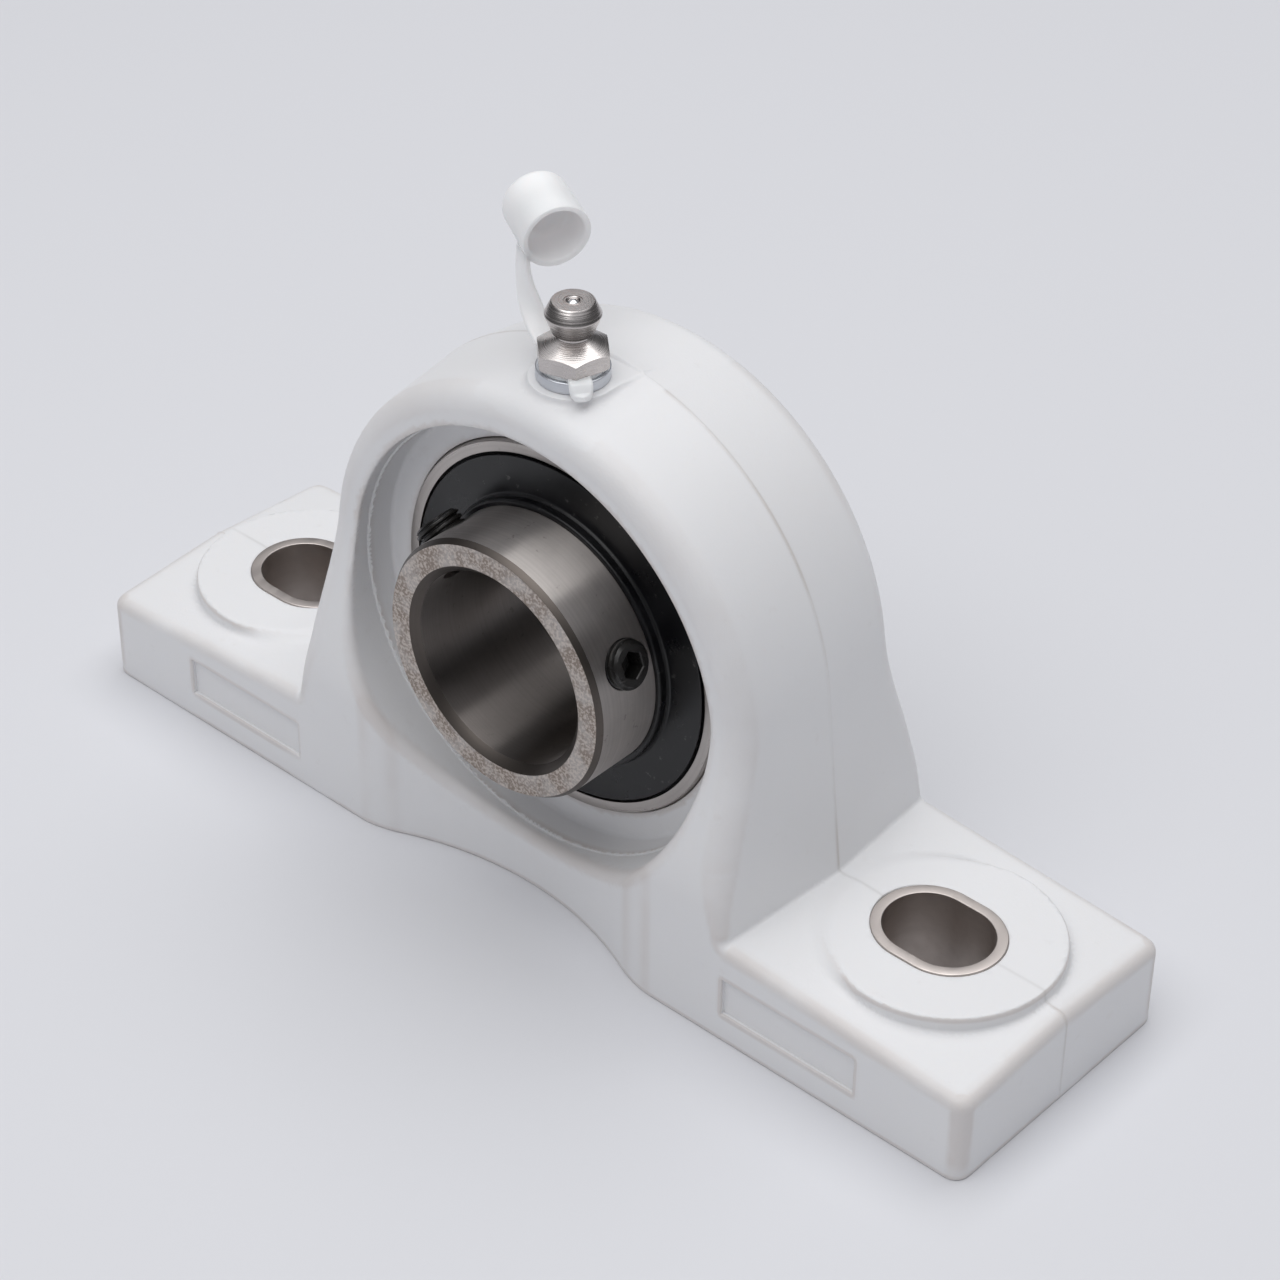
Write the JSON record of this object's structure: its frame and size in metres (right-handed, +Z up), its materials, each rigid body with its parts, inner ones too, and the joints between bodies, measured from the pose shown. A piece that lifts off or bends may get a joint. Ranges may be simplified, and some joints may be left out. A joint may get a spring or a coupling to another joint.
{
  "type": "pillow block bearing",
  "caption": "Moulded pillow block bearing: white foot-mounted housing, self-aligning set-screw insert with a bore for a 25.4 mm shaft, grease nipple with tethered dust cap.",
  "frame": {"origin": "bottom centre of the base, under the shaft axis and over the bearing's mid plane", "axes": "+Z up from the base, Y along the shaft with the inner ring's long end facing -Y, X along the base from one bolt slot to the other"},
  "size_m": [0.1424, 0.0387, 0.0896],
  "materials": {
    "white_moulding": "satin moulded thermoplastic",
    "sleeve_steel": "drawn stainless",
    "insert_metal": "blue-grey zinc",
    "nipple_plating": "turned and plated",
    "ball_steel": "polished",
    "cap_plastic": "soft translucent",
    "ring_steel": "ground",
    "cage_steel": "pressed",
    "seal_rubber": "moulded",
    "slinger_black": "satin black",
    "screw_black": "black oxide"
  },
  "bodies": {
    "base": {"housing": "white_moulding", "bolt_sleeve_left": "sleeve_steel", "bolt_sleeve_right": "sleeve_steel", "nipple_insert": "insert_metal", "grease_nipple": "nipple_plating", "nipple_spring": "ball_steel", "cap_ring": "cap_plastic"},
    "check_ball": {"nipple_ball": "ball_steel"},
    "cap": {"cap_strap": "cap_plastic", "dust_cap": "cap_plastic"},
    "pin": {"anti_rotation_pin": "ring_steel"},
    "outer": {"outer_ring": "ring_steel", "seal_front": "seal_rubber", "seal_rear": "seal_rubber"},
    "inner": {"inner_ring": "ring_steel", "slinger_front": "slinger_black", "slinger_rear": "slinger_black"},
    "screw_side": {"set_screw_side": "screw_black"},
    "screw_upper": {"set_screw_upper": "screw_black"},
    "cage": {"cage_front": "cage_steel", "cage_rear": "cage_steel", "cage_rivets": "cage_steel"},
    "ball_1": {"ball_1": "ball_steel"},
    "ball_2": {"ball_2": "ball_steel"},
    "ball_3": {"ball_3": "ball_steel"},
    "ball_4": {"ball_4": "ball_steel"},
    "ball_5": {"ball_5": "ball_steel"},
    "ball_6": {"ball_6": "ball_steel"},
    "ball_7": {"ball_7": "ball_steel"},
    "ball_8": {"ball_8": "ball_steel"},
    "ball_9": {"ball_9": "ball_steel"}
  },
  "joints": [
    {"name": "align_yaw", "type": "hinge", "parent": "base", "child": "pin", "pos_m": [0, 0, 0.0365], "axis": [0, 0, 1], "range_deg": [-3, 3]},
    {"name": "align_pitch", "type": "hinge", "parent": "pin", "child": "outer", "pos_m": [0, 0, 0.0365], "axis": [1, 0, 0], "range_deg": [-3, 3]},
    {"name": "shaft_spin", "type": "hinge", "parent": "outer", "child": "inner", "pos_m": [0, 0, 0.0365], "axis": [0, 1, 0], "continuous": true},
    {"name": "cage_orbit", "type": "hinge", "parent": "outer", "child": "cage", "pos_m": [0, 0, 0.0365], "axis": [0, 1, 0], "continuous": true},
    {"name": "screw_side_run", "type": "slide", "parent": "inner", "child": "screw_side", "axis": [-0.9336, 0, -0.3584], "range_m": [-0.002, 0.0015]},
    {"name": "screw_upper_run", "type": "slide", "parent": "inner", "child": "screw_upper", "axis": [0.7771, 0, -0.6293], "range_m": [-0.002, 0.0015]},
    {"name": "check_ball_press", "type": "slide", "parent": "base", "child": "check_ball", "axis": [0, 0, -1], "range_m": [0, 0.0008], "stiffness_N_per_m": 60, "springref_m": -0.0005, "deforming": ["nipple_spring"]},
    {"name": "cap_swing", "type": "hinge", "parent": "base", "child": "cap", "pos_m": [-0.00723, -0.00152, 0.0762], "axis": [0.4964, 0.8643, -0.0812], "range_deg": [-40, 40], "stiffness_Nm_per_rad": 0.002, "deforming": ["cap_strap"]},
    {"name": "ball_1_spin", "type": "hinge", "parent": "cage", "child": "ball_1", "pos_m": [0, 0, 0.056], "axis": [0, 1, 0], "continuous": true},
    {"name": "ball_2_spin", "type": "hinge", "parent": "cage", "child": "ball_2", "pos_m": [0.01253, 0, 0.05144], "axis": [0, 1, 0], "continuous": true},
    {"name": "ball_3_spin", "type": "hinge", "parent": "cage", "child": "ball_3", "pos_m": [0.0192, 0, 0.03989], "axis": [0, 1, 0], "continuous": true},
    {"name": "ball_4_spin", "type": "hinge", "parent": "cage", "child": "ball_4", "pos_m": [0.01689, 0, 0.02675], "axis": [0, 1, 0], "continuous": true},
    {"name": "ball_5_spin", "type": "hinge", "parent": "cage", "child": "ball_5", "pos_m": [0.00667, 0, 0.01818], "axis": [0, 1, 0], "continuous": true},
    {"name": "ball_6_spin", "type": "hinge", "parent": "cage", "child": "ball_6", "pos_m": [-0.00667, 0, 0.01818], "axis": [0, 1, 0], "continuous": true},
    {"name": "ball_7_spin", "type": "hinge", "parent": "cage", "child": "ball_7", "pos_m": [-0.01689, 0, 0.02675], "axis": [0, 1, 0], "continuous": true},
    {"name": "ball_8_spin", "type": "hinge", "parent": "cage", "child": "ball_8", "pos_m": [-0.0192, 0, 0.03989], "axis": [0, 1, 0], "continuous": true},
    {"name": "ball_9_spin", "type": "hinge", "parent": "cage", "child": "ball_9", "pos_m": [-0.01253, 0, 0.05144], "axis": [0, 1, 0], "continuous": true}
  ],
  "couplings": [
    {"joint": "cage_orbit", "follows": "shaft_spin", "ratio": 0.39823},
    {"joint": "ball_1_spin", "follows": "shaft_spin", "ratio": -2.3548},
    {"joint": "ball_2_spin", "follows": "shaft_spin", "ratio": -2.3548},
    {"joint": "ball_3_spin", "follows": "shaft_spin", "ratio": -2.3548},
    {"joint": "ball_4_spin", "follows": "shaft_spin", "ratio": -2.3548},
    {"joint": "ball_5_spin", "follows": "shaft_spin", "ratio": -2.3548},
    {"joint": "ball_6_spin", "follows": "shaft_spin", "ratio": -2.3548},
    {"joint": "ball_7_spin", "follows": "shaft_spin", "ratio": -2.3548},
    {"joint": "ball_8_spin", "follows": "shaft_spin", "ratio": -2.3548},
    {"joint": "ball_9_spin", "follows": "shaft_spin", "ratio": -2.3548}
  ]
}
